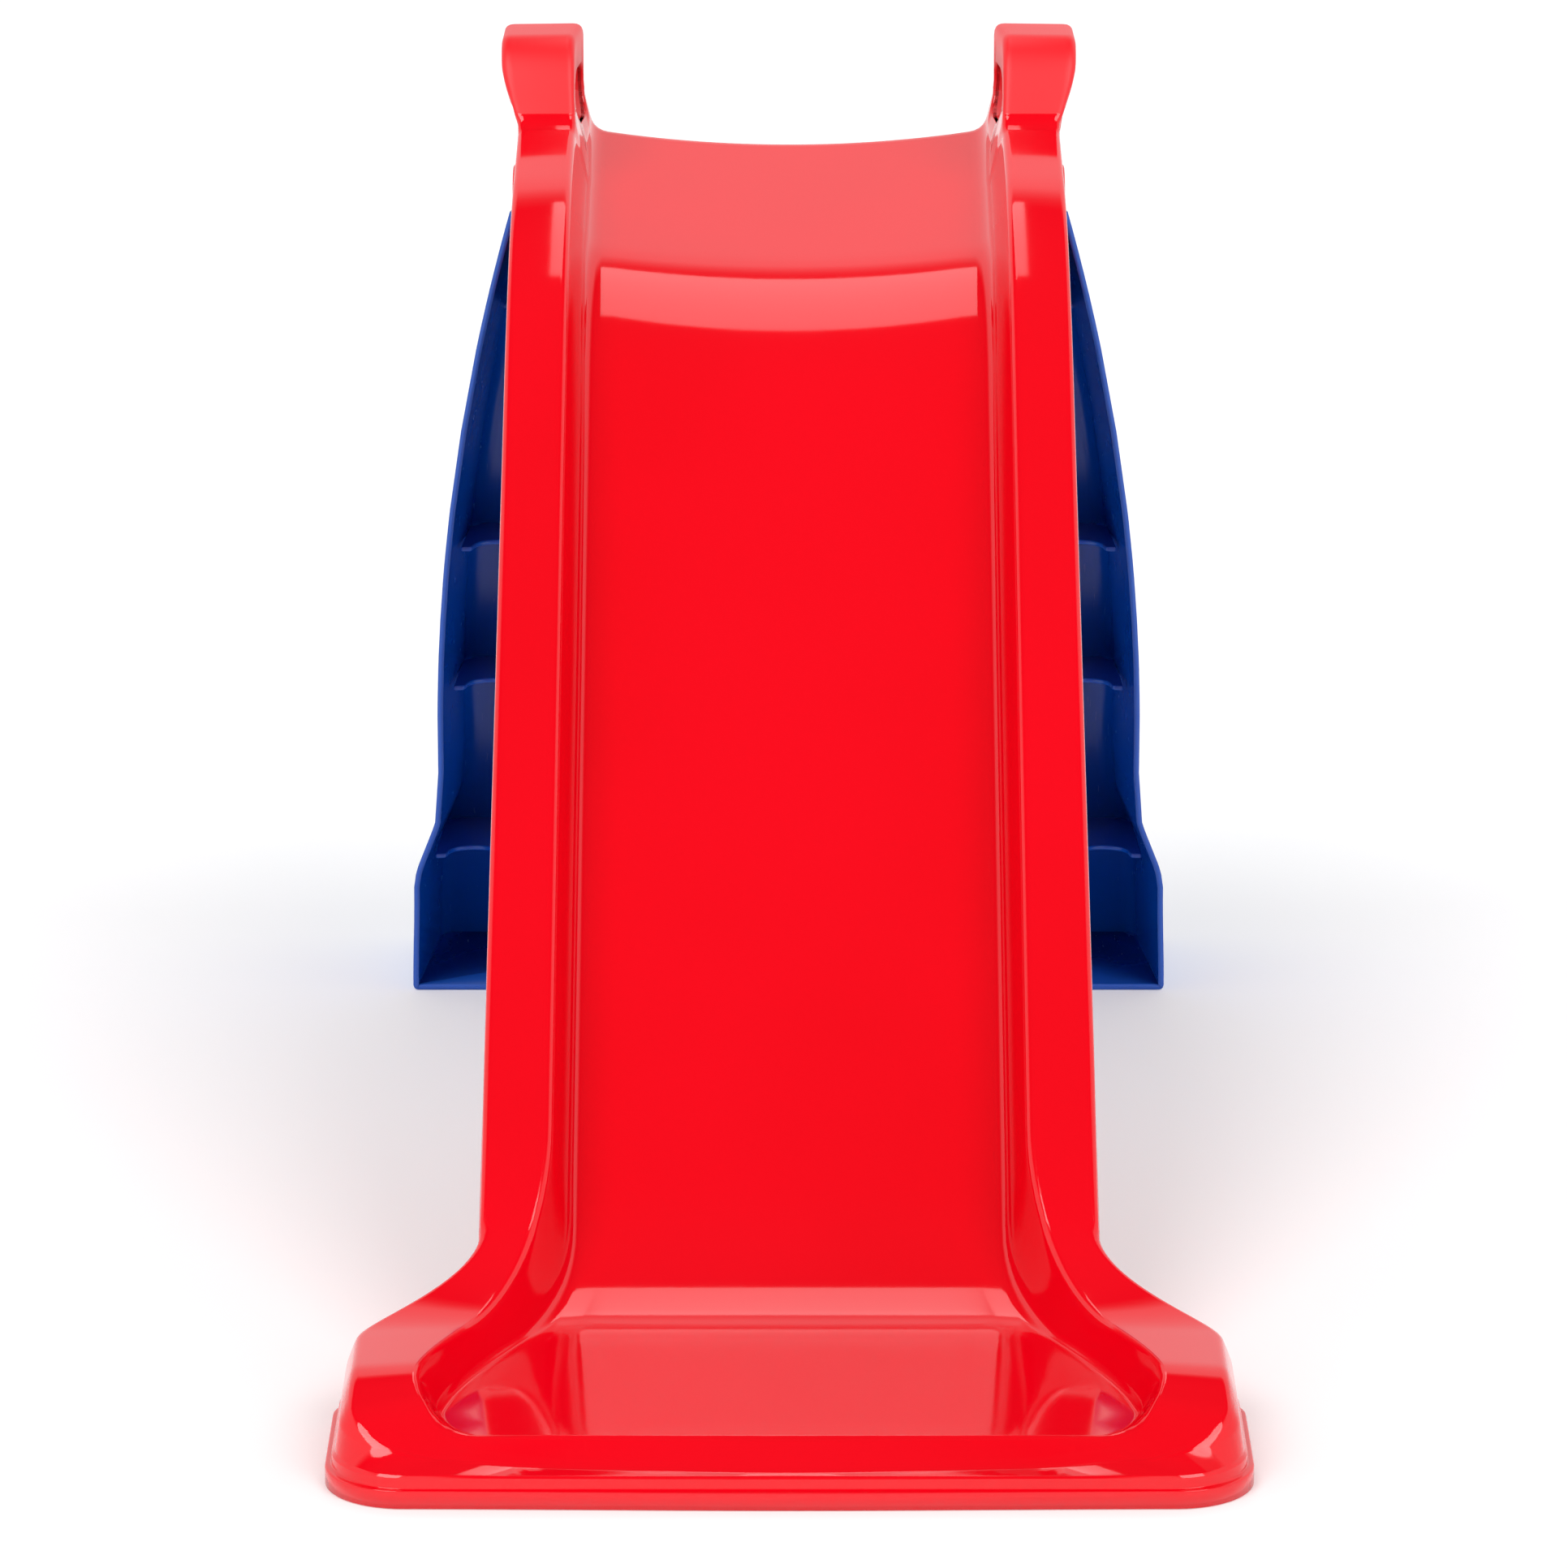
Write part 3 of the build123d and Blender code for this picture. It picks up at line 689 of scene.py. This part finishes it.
slide = build_slide()
solid(slide, SKIN)
cut_slots(bake(slide))
grip_core = cut_slots(build_grip_core())
lugs = latch_lugs()
for obj in (grip_core, lugs):
    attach(obj, "slide")
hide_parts("hand_grip_left", "hand_grip_right")
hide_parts("slide_chute")
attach(slide, "slide")
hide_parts("slide_chute")


# ---- camera ----
ELEVATION = radians(15.3)
EYE = (-0.0027, -4.067, 1.343)
FOCAL = 179.65


def make_camera():
    data = bpy.data.cameras.new("camera")
    data.sensor_width = 36.0
    data.lens = FOCAL
    obj = bpy.data.objects.new("camera", data)
    bpy.context.scene.collection.objects.link(obj)
    obj.location = EYE
    obj.rotation_euler = (pi / 2 - ELEVATION, 0.0, 0.0)
    bpy.context.scene.camera = obj


# ---- materials ----
class Nodes:
    """Short way to write a node tree."""

    def __init__(self, name):
        self.mat = bpy.data.materials.new(name)
        self.mat.use_nodes = True
        self.tree = self.mat.node_tree
        self.shader = self.tree.nodes["Principled BSDF"]

    def add(self, kind, settings=None, **inputs):
        node = self.tree.nodes.new("ShaderNode" + kind)
        for key, value in (settings or {}).items():
            setattr(node, key, value)
        for key, value in inputs.items():
            self.feed(node, int(key[1:]) if key[0] == "i" and key[1:].isdigit() else key, value)
        return node

    def feed(self, node, key, value):
        if isinstance(value, bpy.types.NodeSocket):
            self.tree.links.new(value, node.inputs[key])
        else:
            node.inputs[key].default_value = value

    def math(self, operation, a, b=0.0):
        return self.add("Math", {"operation": operation}, i0=a, i1=b).outputs[0]

    def ramp(self, value, low, high, to_low=0.0, to_high=1.0):
        node = self.add("MapRange", {"interpolation_type": "SMOOTHSTEP"}, i0=value, i1=low, i2=high,
                        i3=to_low, i4=to_high)
        return node.outputs[0]

    def noise(self, point, scale, detail=3.0, rough=0.5):
        node = self.add("TexNoise", None, Vector=point, Scale=scale, Detail=detail, Roughness=rough)
        return node.outputs[0]

    def mix(self, share, a, b):
        node = self.add("Mix", {"data_type": "RGBA"})
        self.feed(node, 0, share)
        self.feed(node, 6, a)
        self.feed(node, 7, b)
        return node.outputs[2]


def moulded(name, colour, deep, rough, matt_above=None):
    """Injection-moulded plastic: slight colour drift, flow waviness, scuffs, dulled (rougher) edges, and
    convex edges painted paler as a painted edge highlight.
    """
    n = Nodes(name)
    point = n.add("TexCoord").outputs["Object"]
    spot = n.add("SeparateXYZ", None, i0=point)
    drift = n.noise(point, 5.0, 2.0)
    cloud = n.noise(point, 42.0, 4.0)
    grain = n.noise(point, 900.0, 2.0)
    stretch = n.add("Mapping", None, i0=point, Scale=(60.0, 6.0, 6.0)).outputs[0]
    scuff = n.ramp(n.noise(stretch, 9.0, 5.0, 0.62), 0.62, 0.74)
    edge = n.ramp(n.add("NewGeometry").outputs["Pointiness"], 0.515, 0.56)
    tone = n.ramp(drift, 0.3, 0.7)
    colour_out = n.mix(n.math("MULTIPLY", tone, 0.35), (*colour, 1.0), (*deep, 1.0))
    # painted highlight: convex edges are mixed towards a paler colour, standing in for the light caught
    # along them; the same edge mask also makes them rougher
    painted_edge_highlight = tuple(min(1.0, c * 0.75 + 0.10) for c in colour)
    colour_out = n.mix(n.math("MULTIPLY", edge, 0.10), colour_out, (*painted_edge_highlight, 1.0))
    gloss = n.math("ADD", rough, n.math("MULTIPLY", scuff, 0.05))
    gloss = n.math("ADD", gloss, n.math("MULTIPLY", n.math("SUBTRACT", cloud, 0.5), 0.035))
    gloss = n.math("ADD", gloss, n.math("MULTIPLY", edge, 0.05))
    bump_height = n.math("MULTIPLY", drift, 0.25)
    bump_height = n.math("ADD", bump_height, n.math("MULTIPLY", cloud, 0.02))
    if matt_above is not None:
        matt = n.ramp(spot.outputs["Z"], matt_above - 0.0004, matt_above + 0.0004)
        gloss = n.math("ADD", gloss, n.math("MULTIPLY", matt, 0.34))
        stipple = n.math("MULTIPLY", n.math("MULTIPLY", grain, matt), 0.05)
        bump_height = n.math("ADD", bump_height, stipple)
        line = n.math("ABSOLUTE", n.math("SUBTRACT", spot.outputs["Z"], matt_above))
        seam = n.ramp(line, 0.0004, 0.0011, 1.0, 0.0)
        bump_height = n.math("SUBTRACT", bump_height, n.math("MULTIPLY", seam, 0.12))
    bump = n.add("Bump", None, Height=bump_height, Strength=0.35, Distance=0.0016)
    n.feed(n.shader, "Base Color", colour_out)
    n.feed(n.shader, "Roughness", gloss)
    n.feed(n.shader, "Normal", bump.outputs[0])
    n.feed(n.shader, "IOR", 1.5)
    n.feed(n.shader, "Subsurface Weight", 0.0)
    return n.mat


def zinc(name):
    """Zinc-plated steel, brushed along its length, with fine wear."""
    n = Nodes(name)
    point = n.add("TexCoord").outputs["Object"]
    stretch = n.add("Mapping", None, i0=point, Scale=(30.0, 900.0, 900.0)).outputs[0]
    brushed = n.noise(stretch, 1.0, 4.0)
    spots = n.ramp(n.noise(point, 260.0, 4.0), 0.55, 0.7)
    n.feed(n.shader, "Base Color", n.mix(spots, (0.62, 0.62, 0.64, 1.0), (0.47, 0.47, 0.47, 1.0)))
    n.feed(n.shader, "Metallic", 1.0)
    n.feed(n.shader, "Roughness", n.math("ADD", 0.24, n.math("MULTIPLY", brushed, 0.22)))
    n.feed(n.shader, "Normal", n.add("Bump", None, Height=brushed, Strength=0.2, Distance=0.0003).outputs[0])
    return n.mat


def painted_floor():
    """Matt white studio floor."""
    n = Nodes("floor_paint")
    point = n.add("TexCoord").outputs["Object"]
    shade = n.mix(n.noise(point, 3.0), (0.86, 0.86, 0.86, 1.0), (0.88, 0.88, 0.88, 1.0))
    n.feed(n.shader, "Base Color", shade)
    n.feed(n.shader, "Roughness", 0.9)
    n.feed(n.shader, "Specular IOR Level", 0.0)
    n.feed(n.shader, "Emission Color", (1.0, 1.0, 1.0, 1.0))
    n.feed(n.shader, "Emission Strength", 0.16)
    return n.mat


red = moulded("red_gloss", (0.80, 0.0, 0.008), (0.70, 0.0, 0.004), 0.07, matt_above=NOTCH_Z * MM)
blue = moulded("blue_satin", (0.0, 0.080, 0.47), (0.0, 0.040, 0.37), 0.26)
natural = moulded("natural_washer", (0.78, 0.78, 0.75), (0.70, 0.70, 0.67), 0.4)
steel = zinc("zinc_steel")


def dress(obj, material):
    """Give a piece its one material."""
    obj.data.materials.clear()
    obj.data.materials.append(material)


for obj in (slide, grip_core, lugs):
    dress(obj, red)
for obj in (ladder_shell, ladder_ribs, ladder_lugs):
    dress(obj, blue)
CAD_FINISH = {
    "hinge_pin_left": red, "hinge_pin_right": red, "hinge_washers": natural, "hinge_clips": steel,
    "brace_rod": steel, "brace_rod_caps": blue, "fold_brace": blue,
}
for name, material in CAD_FINISH.items():
    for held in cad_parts[name].material_slots:
        held.material = material


# ---- studio ----
def area(name, location, target, size, size_y, power):
    """Rectangular lamp that faces its target."""
    data = bpy.data.lights.new(name, "AREA")
    data.shape = "RECTANGLE"
    data.size, data.size_y, data.energy = size, size_y, power
    obj = bpy.data.objects.new(name, data)
    obj.location = location
    obj.rotation_euler = (Vector(target) - Vector(location)).to_track_quat("-Z", "Y").to_euler()
    bpy.context.scene.collection.objects.link(obj)
    return obj


def make_stage():
    """Floor that the slide stands on."""
    bpy.ops.mesh.primitive_plane_add(size=30.0, location=(0.0, 0.0, -0.0005))
    floor = bpy.context.object
    floor.name = "floor"
    floor.data.materials.append(painted_floor())


def make_world():
    """Pale studio: bright walls up to 45 degrees, a dark ceiling above."""
    world = bpy.data.worlds.new("studio")
    bpy.context.scene.world = world
    world.use_nodes = True
    tree = world.node_tree
    back = tree.nodes["Background"]
    coord = tree.nodes.new("ShaderNodeTexCoord")
    split = tree.nodes.new("ShaderNodeSeparateXYZ")
    tree.links.new(coord.outputs["Generated"], split.inputs[0])
    ramp = tree.nodes.new("ShaderNodeValToRGB")
    tree.links.new(split.outputs["Z"], ramp.inputs[0])
    stops = ramp.color_ramp.elements
    stops[0].position, stops[0].color = 0.0, (1.0, 1.0, 1.0, 1.0)
    stops[1].position, stops[1].color = 1.0, (0.12, 0.12, 0.12, 1.0)
    for degrees, level in ((45.0, 1.0), (51.0, 0.25), (55.0, 0.06)):
        stop = stops.new(sin(radians(degrees)))
        stop.color = (level, level, level, 1.0)
    tree.links.new(ramp.outputs[0], back.inputs[0])
    back.inputs[1].default_value = 1.0


def sun(name, azimuth, elevation, power, angle):
    """Broad distant light; azimuth is measured from the front, to the right."""
    data = bpy.data.lights.new(name, "SUN")
    data.energy, data.angle = power, radians(angle)
    obj = bpy.data.objects.new(name, data)
    a, e = radians(azimuth), radians(elevation)
    way = Vector((sin(a) * cos(e), -cos(a) * cos(e), sin(e)))
    obj.rotation_euler = way.to_track_quat("Z", "Y").to_euler()
    bpy.context.scene.collection.objects.link(obj)


make_camera()
make_stage()
make_world()
sun("key", -38.0, 52.0, 1.05, 28.0)
sun("fill", 42.0, 50.0, 0.85, 28.0)
strip = area("strip", (0.0, 0.62, 1.545), (0.0, -0.02, 0.3), 0.30, 0.56, 1.25)
strip.visible_camera = False
bpy.context.scene.view_settings.view_transform = "Standard"
